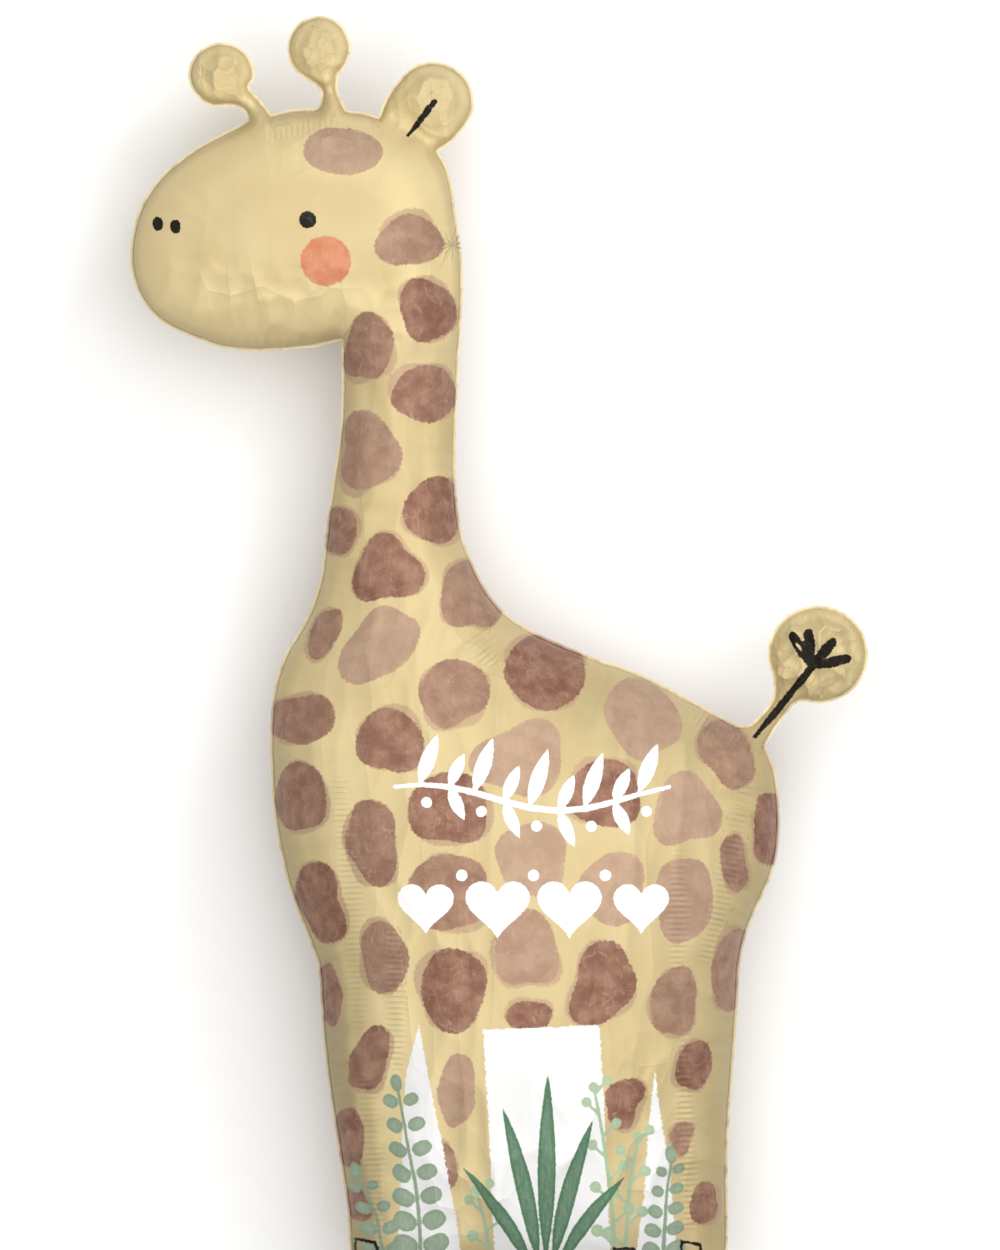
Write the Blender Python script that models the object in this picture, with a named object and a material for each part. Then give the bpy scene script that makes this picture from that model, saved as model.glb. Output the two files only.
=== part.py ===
"""Giraffe-shaped foil balloon, filled with air and lying on its back.

Two sheets of film are heat-sealed together along the outline of a standing giraffe in profile.
Air then swells each lobe of the outline in step with its width: the trunk most, the neck less,
the ossicone stalks and the tail stalk least. The sealed edge stays flat all round, and a flat
filling neck hangs from the seam between the feet.

The figure lies in the XY plane, head towards +Y and muzzle towards -X, printed side up (+Z).
The solid is centred on the Z axis in plan and rests on Z = 0.
"""

import math

import bmesh
import bpy
import numpy as np
from mathutils import geometry

# Driving sizes, in metres
FIGURE_HEIGHT = 1.071  # from the soles of the feet to the top of the taller ossicone
SEAM_WIDTH = 0.003  # the flat heat-sealed edge
SEAM_THICKNESS = 0.0012  # both sheets together, thicker than film so that the edge is a solid
NECK_WIDTH = 0.022  # the filling neck
NECK_LENGTH = 0.042
NECK_CORNER = 0.005  # radius of its two free corners
REST_FLAT = 0.008  # how deep the floor flattens the back of the trunk

# How the lobes swell
FILL_SHARE = 0.87  # depth against that of a fully round tube of the same width
EVEN_WIDTH = 0.045  # half-width of the lobe that fills by just that share
WIDE_LOSS = 0.12  # how quickly wider lobes fall short of it
EAR_TIE = 5.0  # how strongly the crease at the root of the ear holds the sheets together
EAR_TIE_WIDTH = 0.010

# Mesh density, as shares of the figure's height
EDGE_STEP = FIGURE_HEIGHT / 86
EDGE_TURN = math.radians(16)
FIELD_STEP = FIGURE_HEIGHT / 62
ROWS = (FIGURE_HEIGHT / 260, FIGURE_HEIGHT / 85, FIGURE_HEIGHT / 40)  # inside the weld line
SPAN_STEPS = 10  # fine points on each span of the outline's curves
CLEAR_SHARE = 0.62  # how near two points of the mesh may lie, against their own spacing

# The outline is drawn in millimetres, on a figure of this height
DRAWN_HEIGHT = 1071
DRAWN = FIGURE_HEIGHT / DRAWN_HEIGHT

SAND = (0.765, 0.610, 0.310)


def arc(centre, radii, start, end, steps):
    """Points of an elliptical arc, angles in degrees, anticlockwise positive."""
    turns = [math.radians(start + (end - start) * i / steps) for i in range(steps + 1)]
    return [(centre[0] + radii[0] * math.cos(t), centre[1] + radii[1] * math.sin(t)) for t in turns]


def figure_runs():
    """The outline as smooth runs that meet at corners, clockwise from the throat.

    Each run is a list of points in drawn millimetres, and starts where the one before ends.
    """
    throat, brow = (-133, 262), (-212, 447)
    fore_root, aft_root, crown = (-192, 452), (-154, 457), (-129, 456)
    ear_front, ear_back = (-102, 450), (-52, 421)
    tail_top, tail_under = (199, -61), (223, -79)
    hind_sole, fore_sole, flank = (78, -528), (-12, -528), (-153, -262)

    muzzle = [
        throat, (-153, 257), (-204, 253), (-237, 257), (-286, 279), (-302, 298), (-310, 321),
        (-309, 351), (-300, 378), (-281, 404), (-252, 426), brow,
    ]
    fore_ossicone = [brow, (-215, 454), (-222, 458)]
    fore_ossicone += arc((-234, 485), (28, 27.4), -106, -366, 13)
    fore_ossicone += [(-210, 475), (-202, 465), fore_root]
    between_ossicones = [fore_root, (-177, 456), aft_root]
    aft_ossicone = [aft_root, (-151, 463), (-151, 472)]
    aft_ossicone += arc((-152, 507), (26.9, 28), -118, -412, 14)
    aft_ossicone += [(-136, 479), (-135, 470), crown]
    poll = [crown, (-116, 454), ear_front]
    ear = [ear_front, (-95, 467), (-75, 491), (-51, 496), (-28, 482), (-22, 457), (-38, 431), ear_back]
    nape_and_back = [
        ear_back, (-44, 406), (-34, 351), (-31, 317), (-37, 149), (-29, 91), (4, 34), (74, -2),
        (116, -17), tail_top,
    ]
    tail = [tail_top, (209, -60), (220, -51), (229, -38)]
    tail += arc((267, -2), (42.4, 41.2), 206, -108, 16)
    tail += [(249, -43), (239, -54), tail_under]
    rump = [
        tail_under, (231, -99), (235, -149), (230, -181), (208, -234), (202, -260), (200, -292),
        (192, -410), (188, -522), (179, -533), hind_sole,
    ]
    fore_leg = [fore_sole, (-114, -533), (-123, -522), (-129, -464), (-147, -341), flank]
    chest = [
        flank, (-181, -184), (-192, -111), (-191, -38), (-181, -3), (-162, 31), (-152, 59),
        (-144, 121), (-134, 191), throat,
    ]
    before_neck = [
        muzzle, fore_ossicone, between_ossicones, aft_ossicone, poll, ear, nape_and_back, tail,
        rump,
    ]
    return before_neck, hind_sole, fore_sole, [fore_leg, chest]


def metres(points):
    return [np.array(p, float) * DRAWN for p in points]


def filling_neck(hind_sole, fore_sole):
    """Runs from one sole to the other, round the filling neck that hangs between them."""
    middle = (np.array(hind_sole) + np.array(fore_sole)) / 2
    half, end, corner = NECK_WIDTH / 2, middle[1] - NECK_LENGTH, NECK_CORNER
    aft, fore = middle[0] + half, middle[0] - half
    aft_root, fore_root = np.array((aft, middle[1])), np.array((fore, middle[1]))
    free_end = [aft_root]
    free_end += [np.array(p) for p in arc((aft - corner, end + corner), (corner, corner), 0, -90, 4)]
    free_end += [np.array(p) for p in arc((fore + corner, end + corner), (corner, corner), -90, -180, 4)]
    free_end.append(fore_root)
    straight = [[a, b] for a, b in zip(free_end, free_end[1:])]
    return [[hind_sole, aft_root], *straight, [fore_root, fore_sole]], middle


def smooth(points):
    """Fine points of the centripetal Catmull-Rom curve through the given ones."""
    if len(points) == 2:
        return [points[0] + (points[1] - points[0]) * i / SPAN_STEPS for i in range(SPAN_STEPS + 1)]
    ends = [2 * points[0] - points[1], *points, 2 * points[-1] - points[-2]]
    fine = [points[0]]
    for a, b, c, d in zip(ends, ends[1:], ends[2:], ends[3:]):
        t0 = 0.0
        t1 = t0 + math.sqrt(np.linalg.norm(b - a))
        t2 = t1 + math.sqrt(np.linalg.norm(c - b))
        t3 = t2 + math.sqrt(np.linalg.norm(d - c))
        for i in range(1, SPAN_STEPS + 1):
            t = t1 + (t2 - t1) * i / SPAN_STEPS
            ab = a + (b - a) * (t - t0) / (t1 - t0)
            bc = b + (c - b) * (t - t1) / (t2 - t1)
            cd = c + (d - c) * (t - t2) / (t3 - t2)
            abc = ab + (bc - ab) * (t - t0) / (t2 - t0)
            bcd = bc + (cd - bc) * (t - t1) / (t3 - t1)
            fine.append(abc + (bcd - abc) * (t - t1) / (t2 - t1))
    return fine


def spaced(fine):
    """(points, inward normals) along a fine run, closer together where it turns."""
    fine = np.array(fine)
    steps = np.diff(fine, axis=0)
    lengths = np.linalg.norm(steps, axis=1)
    headings = np.unwrap(np.arctan2(steps[:, 1], steps[:, 0]))
    turns = np.abs(np.diff(headings, prepend=headings[0]))
    cost = np.concatenate([[0], np.cumsum(lengths / EDGE_STEP + turns / EDGE_TURN)])
    count = max(1, math.ceil(cost[-1] - 0.25))
    wanted = np.linspace(0, cost[-1], count + 1)
    points = np.column_stack([np.interp(wanted, cost, fine[:, k]) for k in (0, 1)])
    middles = (cost[1:] + cost[:-1]) / 2
    at = np.interp(wanted, middles, headings)
    return points, np.column_stack([np.sin(at), -np.cos(at)])


class Outline:
    """The closed outline: its fine points, its mesh points and their inward normals."""

    def __init__(self):
        before_neck, hind_sole, fore_sole, after_neck = figure_runs()
        neck, self.neck_root = filling_neck(*metres([hind_sole, fore_sole]))
        runs = [metres(r) for r in before_neck] + neck + [metres(r) for r in after_neck]
        fine_runs = [smooth(run) for run in runs]
        self.fine = np.array([p for run in fine_runs for p in run[:-1]])
        self.runs = [spaced(run) for run in fine_runs]
        self.points = np.concatenate([points[:-1] for points, _ in self.runs])

    def distance(self, points):
        """Distance of each point from the outline."""
        starts, ends = self.fine, np.roll(self.fine, -1, axis=0)
        along = ends - starts
        found = []
        for p in points:
            t = np.clip(((p - starts) * along).sum(1) / (along**2).sum(1), 0, 1)
            found.append(np.linalg.norm(starts + along * t[:, None] - p, axis=1).min())
        return np.array(found)

    def inside(self, points):
        """Which points lie inside, by the even-odd rule."""
        crossings = np.zeros(len(points), int)
        for a, b in zip(self.fine, np.roll(self.fine, -1, axis=0)):
            spans = (a[1] > points[:, 1]) != (b[1] > points[:, 1])
            if spans.any():
                x = a[0] + (points[:, 1] - a[1]) * (b[0] - a[0]) / (b[1] - a[1])
                crossings += spans & (points[:, 0] < x)
        return crossings % 2 == 1

    def row(self, depth):
        """Points at that depth inside the outline, in order, with a fan at each inner corner."""
        placed = []
        for (points, normals), (_, following) in zip(self.runs, self.runs[1:] + self.runs[:1]):
            placed += [p + n * depth for p, n in zip(points, normals)]
            bisector = normals[-1] + following[0]
            size = np.linalg.norm(bisector)
            if size < 1.9:
                placed.append(points[-1] + bisector / size * depth)
        placed = np.array(placed)
        keep = self.inside(placed) & (self.distance(placed) > 0.97 * depth)
        return placed[keep]


def thinned(points, kept, spacing):
    """Those of the points that lie clear of the kept ones and of each other."""
    chosen = list(kept)
    first = len(chosen)
    for p in points:
        if np.linalg.norm(np.array(chosen) - p, axis=1).min() > spacing:
            chosen.append(p)
    return chosen[first:]


def plan_mesh(outline):
    """(points, triangles) of the flat figure: outline, weld line, rows inside it, then a field."""
    weld = outline.row(SEAM_WIDTH)
    gaps = np.linalg.norm(np.diff(weld, axis=0, append=weld[:1]), axis=1)
    weld = weld[gaps > 0.15 * SEAM_WIDTH]
    points = [*outline.points, *weld]
    for depth in ROWS:
        points += thinned(outline.row(SEAM_WIDTH + depth), points, CLEAR_SHARE * depth)
    low, high = outline.fine.min(0), outline.fine.max(0)
    rise = FIELD_STEP * math.sqrt(0.75)
    field = [
        (low[0] + (column + 0.5 * (line % 2)) * FIELD_STEP, low[1] + line * rise)
        for line in range(math.ceil((high[1] - low[1]) / rise))
        for column in range(math.ceil((high[0] - low[0]) / FIELD_STEP) + 1)
    ]
    field = np.array(field)
    field = field[outline.inside(field)]
    field = field[outline.distance(field) > SEAM_WIDTH + 1.2 * ROWS[0]]
    points += thinned(field, points, CLEAR_SHARE * FIELD_STEP)

    rim, inner = len(outline.points), len(weld)
    loops = [(i, (i + 1) % rim) for i in range(rim)]
    loops += [(rim + i, rim + (i + 1) % inner) for i in range(inner)]
    found = geometry.delaunay_2d_cdt([tuple(p) for p in points], loops, [], 1, 1e-7)
    return np.array(found[0]), np.array(found[2])


def ear_root_distance(points):
    """Distance of each point from the crease where the ear leaves the head."""
    curve = np.array(smooth(metres([(-102, 450), (-84, 443), (-66, 433), (-52, 421)])))
    return np.array([np.linalg.norm(curve - p, axis=1).min() for p in points])


def swelling(outline, points, triangles):
    """Height of the sheet over each point: a membrane pressed out between its welded edges."""
    a, b, c = (points[triangles[:, k]] for k in range(3))
    double = (b[:, 0] - a[:, 0]) * (c[:, 1] - a[:, 1]) - (b[:, 1] - a[:, 1]) * (c[:, 0] - a[:, 0])
    edges = np.stack([c - b, a - c, b - a], axis=1)
    stiffness = np.zeros((len(points), len(points)))
    load = np.zeros(len(points))
    for i in range(3):
        np.add.at(load, triangles[:, i], double / 6)
        for j in range(3):
            value = (edges[:, i] * edges[:, j]).sum(1) / (2 * double)
            np.add.at(stiffness, (triangles[:, i], triangles[:, j]), value)
    tie = EAR_TIE / EAR_TIE_WIDTH**2 * np.exp(-((ear_root_distance(points) / EAR_TIE_WIDTH) ** 2))
    stiffness[np.diag_indices(len(points))] += tie * load

    aside, down = (outline.neck_root - points).T
    in_neck = (np.abs(aside) < NECK_WIDTH / 2 + SEAM_WIDTH) & (down > -SEAM_WIDTH)
    free = (outline.distance(points) > 1.05 * SEAM_WIDTH) & ~in_neck
    pressed = np.zeros(len(points))
    pressed[free] = np.linalg.solve(stiffness[np.ix_(free, free)], load[free])
    round_height = np.sqrt(2 * np.maximum(pressed, 0))
    return FILL_SHARE * round_height ** (1 - WIDE_LOSS) * EVEN_WIDTH**WIDE_LOSS


def closed_solid(points, triangles, above, below):
    """A closed mesh with the upper sheet at heights above, the lower one at heights below."""
    mesh = bmesh.new()
    upper = [mesh.verts.new((x, y, z)) for (x, y), z in zip(points, above)]
    lower = [mesh.verts.new((x, y, z)) for (x, y), z in zip(points, below)]
    for i, j, k in triangles:
        mesh.faces.new((upper[i], upper[j], upper[k]))
        mesh.faces.new((lower[k], lower[j], lower[i]))
    rim = [edge for edge in mesh.edges if edge.is_boundary]
    bmesh.ops.bridge_loops(mesh, edges=rim)
    bmesh.ops.recalc_face_normals(mesh, faces=mesh.faces)
    return mesh


def printed_film():
    material = bpy.data.materials.new("sand_printed_film")
    material.use_nodes = True
    shader = material.node_tree.nodes["Principled BSDF"]
    shader.inputs["Base Color"].default_value = (*SAND, 1)
    shader.inputs["Roughness"].default_value = 0.38
    shader.inputs["Metallic"].default_value = 0.25
    material.diffuse_color = (*SAND, 1)
    return material


def build_balloon():
    outline = Outline()
    points, triangles = plan_mesh(outline)
    height = swelling(outline, points, triangles)
    floor = -(height.max() + SEAM_THICKNESS / 2 - REST_FLAT)
    above = SEAM_THICKNESS / 2 + height
    below = np.maximum(-SEAM_THICKNESS / 2 - height, floor)
    points = points - (points.min(0) + points.max(0)) / 2

    solid = closed_solid(points, triangles, above - floor, below - floor)
    data = bpy.data.meshes.new("foil_balloon")
    solid.to_mesh(data)
    solid.free()
    balloon = bpy.data.objects.new("foil_balloon", data)
    bpy.context.scene.collection.objects.link(balloon)
    data.materials.append(printed_film())
    data.shade_smooth()
    data.set_sharp_from_angle(angle=math.radians(50))
    return balloon


for old in list(bpy.data.objects):
    bpy.data.objects.remove(old)
build_balloon()
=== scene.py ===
"""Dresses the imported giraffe-shaped foil balloon: film, creases, print, floor, light and camera.

The balloon is two sheets of printed film sealed together at their edge. Each sheet is built in
plan from the outline's curves, swollen as a membrane held at the weld line, then creased. The
print is stored on the sheets as signed distances, in millimetres, that the materials cut into
crisp brushed edges.
"""

import math
from functools import partial

import bpy
import numpy as np
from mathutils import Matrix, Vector, geometry, kdtree


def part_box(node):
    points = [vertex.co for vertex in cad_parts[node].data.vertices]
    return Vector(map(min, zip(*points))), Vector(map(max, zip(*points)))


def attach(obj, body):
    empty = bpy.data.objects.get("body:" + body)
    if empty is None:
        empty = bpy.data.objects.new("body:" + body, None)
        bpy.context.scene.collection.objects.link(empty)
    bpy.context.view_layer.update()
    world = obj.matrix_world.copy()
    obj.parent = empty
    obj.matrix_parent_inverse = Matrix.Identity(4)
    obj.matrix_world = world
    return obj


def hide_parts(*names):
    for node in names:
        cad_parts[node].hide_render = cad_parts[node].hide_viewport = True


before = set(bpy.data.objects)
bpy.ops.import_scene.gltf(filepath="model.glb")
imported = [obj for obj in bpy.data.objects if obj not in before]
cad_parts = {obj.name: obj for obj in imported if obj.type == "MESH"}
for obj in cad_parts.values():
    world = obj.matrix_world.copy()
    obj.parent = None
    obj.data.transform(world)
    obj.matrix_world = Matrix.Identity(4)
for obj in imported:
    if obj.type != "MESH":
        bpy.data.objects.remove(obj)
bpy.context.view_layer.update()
CAD_NODE = "foil_balloon"
CAD_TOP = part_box(CAD_NODE)[1].z

bl_info = {
    "name": "Giraffe Foil Balloon",
    "version": (1, 0, 0),
    "blender": (4, 5, 0),
    "location": "3D View > Sidebar > Balloon",
    "description": "Dresses a giraffe-shaped foil balloon in creased, printed film",
    "category": "Add Mesh",
}

MM = 0.001

# The solid's sizes, in metres, and the height in millimetres that the outline is drawn at
FIGURE_HEIGHT = 1.071
DRAWN_HEIGHT = 1071
DRAWN = FIGURE_HEIGHT / DRAWN_HEIGHT
REST_FLAT = 0.008
SEAM_HEIGHT = (CAD_TOP - REST_FLAT) / 2
EVEN_WIDTH = 0.045
WIDE_LOSS = 0.12
EAR_TIE = 5.0
EAR_TIE_WIDTH = 0.010
EAR_CREASE = ((-102, 450), (-84, 443), (-66, 433), (-52, 421))
NECK_CORNER = 0.005

# The edge's mesh: steps in each span of the curves, spacing of points, closer where it turns, and
# the turn, in radians, from which rows of points are fanned round a corner
SPAN_STEPS = 16
EDGE_STEP = 1.7 * MM
EDGE_TURN = math.radians(7)
FAN_TURN = 0.2

# Finding the outline's nearest place: spacing of samples, and how far it may lie from one
SAMPLE_STEP = 0.8 * MM
SAMPLE_SLIDE = 0.4 * MM

# The mesh inside: spacing over the field and close to fine print, depths in millimetres of the
# rows inside the weld line, how clear of them the field stays and how deep a row's points must be
FIELD_STEP = 2.9 * MM
PRINT_STEP = 1.45 * MM
PRINT_REACH = 2.0 * MM
ROWS = (0.5, 1.3, 2.8, 4.8, 7.2, 10.0)
CLEAR_SHARE = 0.62
NEAR_SHARE = 0.985

# Share of its first energy at which the swelling counts as solved
SOLVED_SHARE = 1e-12

# The sealed edge: rise, pitch in millimetres, seed and reach of its waves, how far it is drawn in,
# how far from the neck it is stiffened, and the height from which the film is fully creased
SEAM_WAVES = ((1.5, 8, 52, 7 * MM), (1.2, 23, 53, 9 * MM))
RIM_DRAW = 0.35 * MM
NECK_STIFF = 40 * MM
CREASED_HEIGHT = 9 * MM

# The back sheet: how far its creases are shifted against the front's, how gently it flattens on
# the floor, how far it is drawn down on it and how far it stays clear
BACK_SHIFT = 0.37
FLOOR_BLEND = 3 * MM
FLOOR_DRAW = 0.4 * MM
FLOOR_CLEAR = 0.1 * MM


def linear(code):
    """A colour given as sRGB hex, turned to linear."""
    parts = [int(code[i : i + 2], 16) / 255 for i in (1, 3, 5)]
    return tuple(p / 12.92 if p <= 0.04045 else ((p + 0.055) / 1.055) ** 2.4 for p in parts)


# The outline, as in the solid's source


def arc(centre, radii, start, end, steps):
    """Points of an elliptical arc, angles in degrees, anticlockwise positive."""
    turns = [math.radians(start + (end - start) * i / steps) for i in range(steps + 1)]
    return [(centre[0] + radii[0] * math.cos(t), centre[1] + radii[1] * math.sin(t)) for t in turns]


def figure_runs():
    """The outline as smooth runs that meet at corners, clockwise from the throat.

    In drawn millimetres: runs before the filling neck, both soles, runs after it.
    """
    throat, brow = (-133, 262), (-212, 447)
    fore_root, aft_root, crown = (-192, 452), (-154, 457), (-129, 456)
    ear_front, ear_back = (-102, 450), (-52, 421)
    tail_top, tail_under = (199, -61), (223, -79)
    hind_sole, fore_sole, flank = (78, -528), (-12, -528), (-153, -262)

    muzzle = [
        throat, (-153, 257), (-204, 253), (-237, 257), (-286, 279), (-302, 298), (-310, 321),
        (-309, 351), (-300, 378), (-281, 404), (-252, 426), brow,
    ]
    fore_ossicone = [brow, (-215, 454), (-222, 458)]
    fore_ossicone += arc((-234, 485), (28, 27.4), -106, -366, 13)
    fore_ossicone += [(-210, 475), (-202, 465), fore_root]
    between_ossicones = [fore_root, (-177, 456), aft_root]
    aft_ossicone = [aft_root, (-151, 463), (-151, 472)]
    aft_ossicone += arc((-152, 507), (26.9, 28), -118, -412, 14)
    aft_ossicone += [(-136, 479), (-135, 470), crown]
    poll = [crown, (-116, 454), ear_front]
    ear = [
        ear_front, (-95, 467), (-75, 491), (-51, 496), (-28, 482), (-22, 457), (-38, 431), ear_back,
    ]
    nape_and_back = [
        ear_back, (-44, 406), (-34, 351), (-31, 317), (-37, 149), (-29, 91), (4, 34), (74, -2),
        (116, -17), tail_top,
    ]
    tail = [tail_top, (209, -60), (220, -51), (229, -38)]
    tail += arc((267, -2), (42.4, 41.2), 206, -108, 16)
    tail += [(249, -43), (239, -54), tail_under]
    rump = [
        tail_under, (231, -99), (235, -149), (230, -181), (208, -234), (202, -260), (200, -292),
        (192, -410), (188, -522), (179, -533), hind_sole,
    ]
    fore_leg = [fore_sole, (-114, -533), (-123, -522), (-129, -464), (-147, -341), flank]
    chest = [
        flank, (-181, -184), (-192, -111), (-191, -38), (-181, -3), (-162, 31), (-152, 59),
        (-144, 121), (-134, 191), throat,
    ]
    before_neck = [
        muzzle, fore_ossicone, between_ossicones, aft_ossicone, poll, ear, nape_and_back, tail,
        rump,
    ]
    return before_neck, hind_sole, fore_sole, [fore_leg, chest]


def metres(points):
    """Drawn points at the figure's own size."""
    return [np.array(p, float) * DRAWN for p in points]


def filling_neck_runs(hind_sole, fore_sole, width, length):
    """Runs from one sole to the other, round the filling neck that hangs between them."""
    middle = (np.array(hind_sole) + np.array(fore_sole)) / 2
    aft, fore = middle[0] + width / 2, middle[0] - width / 2
    low, radii = middle[1] - length + NECK_CORNER, (NECK_CORNER, NECK_CORNER)
    free_end = [(aft, middle[1])]
    free_end += arc((aft - NECK_CORNER, low), radii, 0, -90, 4)
    free_end += arc((fore + NECK_CORNER, low), radii, -90, -180, 4)
    free_end = [np.array(p) for p in (*free_end, (fore, middle[1]))]
    straight = [[a, b] for a, b in zip(free_end, free_end[1:])]
    return [[hind_sole, free_end[0]], *straight, [free_end[-1], fore_sole]], middle


def smooth(points):
    """Fine points of the centripetal Catmull-Rom curve through the given ones."""
    if len(points) == 2:
        way = points[1] - points[0]
        return [points[0] + way * i / SPAN_STEPS for i in range(SPAN_STEPS + 1)]
    ends = [2 * points[0] - points[1], *points, 2 * points[-1] - points[-2]]
    fine = [points[0]]
    for a, b, c, d in zip(ends, ends[1:], ends[2:], ends[3:]):
        t0 = 0.0
        t1 = t0 + math.sqrt(np.linalg.norm(b - a))
        t2 = t1 + math.sqrt(np.linalg.norm(c - b))
        t3 = t2 + math.sqrt(np.linalg.norm(d - c))
        for i in range(1, SPAN_STEPS + 1):
            t = t1 + (t2 - t1) * i / SPAN_STEPS
            ab = a + (b - a) * (t - t0) / (t1 - t0)
            bc = b + (c - b) * (t - t1) / (t2 - t1)
            cd = c + (d - c) * (t - t2) / (t3 - t2)
            abc = ab + (bc - ab) * (t - t0) / (t2 - t0)
            bcd = bc + (cd - bc) * (t - t1) / (t3 - t1)
            fine.append(abc + (bcd - abc) * (t - t1) / (t2 - t1))
    return fine


def spaced(fine):
    """(points, inward normals) along a fine run, closer together where it turns."""
    fine = np.array(fine)
    steps = np.diff(fine, axis=0)
    lengths = np.linalg.norm(steps, axis=1)
    headings = np.unwrap(np.arctan2(steps[:, 1], steps[:, 0]))
    turns = np.abs(np.diff(headings, prepend=headings[0]))
    cost = np.concatenate([[0], np.cumsum(lengths / EDGE_STEP + turns / EDGE_TURN)])
    count = max(1, math.ceil(cost[-1] - 0.25))
    wanted = np.linspace(0, cost[-1], count + 1)
    points = np.column_stack([np.interp(wanted, cost, fine[:, k]) for k in (0, 1)])
    at = np.interp(wanted, (cost[1:] + cost[:-1]) / 2, headings)
    return points, np.column_stack([np.sin(at), -np.cos(at)])


def near_tree(points):
    """A tree for finding the nearest of the points in plan."""
    tree = kdtree.KDTree(len(points))
    for i, (x, y) in enumerate(points):
        tree.insert((x, y, 0), i)
    tree.balance()
    return tree


def near_distance(tree, points):
    """How far each point is from the nearest in the tree."""
    return np.array([tree.find((x, y, 0))[2] for x, y in points])


def inside_loop(points, corners):
    """Which points lie inside a closed loop, by the even-odd rule."""
    crossings = np.zeros(len(points), int)
    for a, b in zip(corners, np.roll(corners, -1, axis=0)):
        spans = (a[1] > points[:, 1]) != (b[1] > points[:, 1])
        if spans.any():
            x = a[0] + (points[spans, 1] - a[1]) * (b[0] - a[0]) / (b[1] - a[1])
            crossings[spans] += points[spans, 0] < x
    return crossings % 2 == 1


class Outline:
    """The closed outline, with each point's distance from it and place along it."""

    def __init__(self, neck_width, neck_length):
        before_neck, hind_sole, fore_sole, after_neck = figure_runs()
        soles = metres([hind_sole, fore_sole])
        neck, self.neck_root = filling_neck_runs(*soles, neck_width, neck_length)
        runs = [metres(r) for r in before_neck] + neck + [metres(r) for r in after_neck]
        fine_runs = [smooth(run) for run in runs]
        self.fine = np.array([p for run in fine_runs for p in run[:-1]])
        self.runs = [spaced(run) for run in fine_runs]
        self.points = np.concatenate([points[:-1] for points, _ in self.runs])
        following = np.roll(self.fine, -1, axis=0)
        lengths = np.linalg.norm(following - self.fine, axis=1)
        self.along = np.concatenate([[0], np.cumsum(lengths)])
        count = int(self.along[-1] / SAMPLE_STEP)
        places = np.linspace(0, self.along[-1], count, endpoint=False)
        closed = np.vstack([self.fine, self.fine[:1]])
        x, y = (np.interp(places, self.along, closed[:, k]) for k in (0, 1))
        self.samples = np.column_stack([x, y])
        self.places = places
        self.tree = near_tree(self.samples)

    def nearest(self, points):
        """(distance, place along, inward normal) of the outline's point nearest to each point."""
        found = [self.tree.find((x, y, 0)) for x, y in points]
        index = np.array([f[1] for f in found])
        after, before = (np.roll(self.samples, way, axis=0)[index] for way in (-1, 1))
        tangent = after - before
        tangent /= np.linalg.norm(tangent, axis=1)[:, None]
        offset = points - self.samples[index]
        slide = np.clip((offset * tangent).sum(1), -SAMPLE_SLIDE, SAMPLE_SLIDE)
        distance = np.linalg.norm(offset - tangent * slide[:, None], axis=1)
        inward = np.column_stack([tangent[:, 1], -tangent[:, 0]])
        return distance, self.places[index] + slide, inward

    def row(self, depth, skip, spacing):
        """Points at that depth inside the outline, in order and at least that spacing apart."""
        placed = []
        for (points, normals), (_, following) in zip(self.runs, self.runs[1:] + self.runs[:1]):
            placed += [p + n * depth for p, n in zip(points[::skip], normals[::skip])]
            turn = np.arctan2(*np.flip(following[0])) - np.arctan2(*np.flip(normals[-1]))
            turn = (turn + math.pi) % (2 * math.pi) - math.pi
            if turn > FAN_TURN:
                fan = int(turn * depth / spacing)
                start = math.atan2(normals[-1][1], normals[-1][0])
                for i in range(1, fan + 1):
                    angle = start + turn * i / (fan + 1)
                    way = np.array((math.cos(angle), math.sin(angle)))
                    placed.append(points[-1] + depth * way)
        placed = np.array(placed)
        placed = placed[inside_loop(placed, self.fine)]
        placed = placed[self.nearest(placed)[0] > NEAR_SHARE * depth]
        kept = [placed[0]]
        for p in placed[1:]:
            if abs(p - kept[-1]).max() > spacing:
                kept.append(p)
        return np.array(kept)


# Print: signed distances in millimetres, positive inside a shape


def blob_edge(points, centre, radii, tilt, wobble, pull=0.0, heading=0.0):
    """Distance inside a rounded, slightly uneven brushed shape, three corners pulled out."""
    offset = points - np.array(centre)
    turn = math.radians(tilt)
    x = offset[:, 0] * math.cos(turn) + offset[:, 1] * math.sin(turn)
    y = -offset[:, 0] * math.sin(turn) + offset[:, 1] * math.cos(turn)
    angle = np.arctan2(y / radii[1], x / radii[0])
    reach = 1.0
    for order, (size, phase) in enumerate(wobble, start=2):
        reach = reach + size * np.cos(order * angle + phase)
    bearing = np.arctan2(offset[:, 1], offset[:, 0]) - math.radians(heading)
    reach = reach + pull * np.cos(3 * bearing)
    squarish = (np.abs(x / radii[0]) ** 2.3 + np.abs(y / radii[1]) ** 2.3) ** (1 / 2.3)
    radius = np.hypot(x, y)
    with np.errstate(divide="ignore", invalid="ignore"):
        edge = np.where(squarish > 1e-6, radius / squarish * reach, min(radii))
    return edge - radius


def disc_edge(points, centre, radius):
    """Distance inside a disc."""
    return radius - np.linalg.norm(points - np.array(centre, float), axis=1)


def to_segment(points, a, b):
    """(share along, distance) of the nearest place on a segment."""
    along = b - a
    t = np.clip(((points - a) @ along) / max(along @ along, 1e-9), 0, 1)
    return t, np.linalg.norm(points - a - t[:, None] * along, axis=1)


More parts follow.
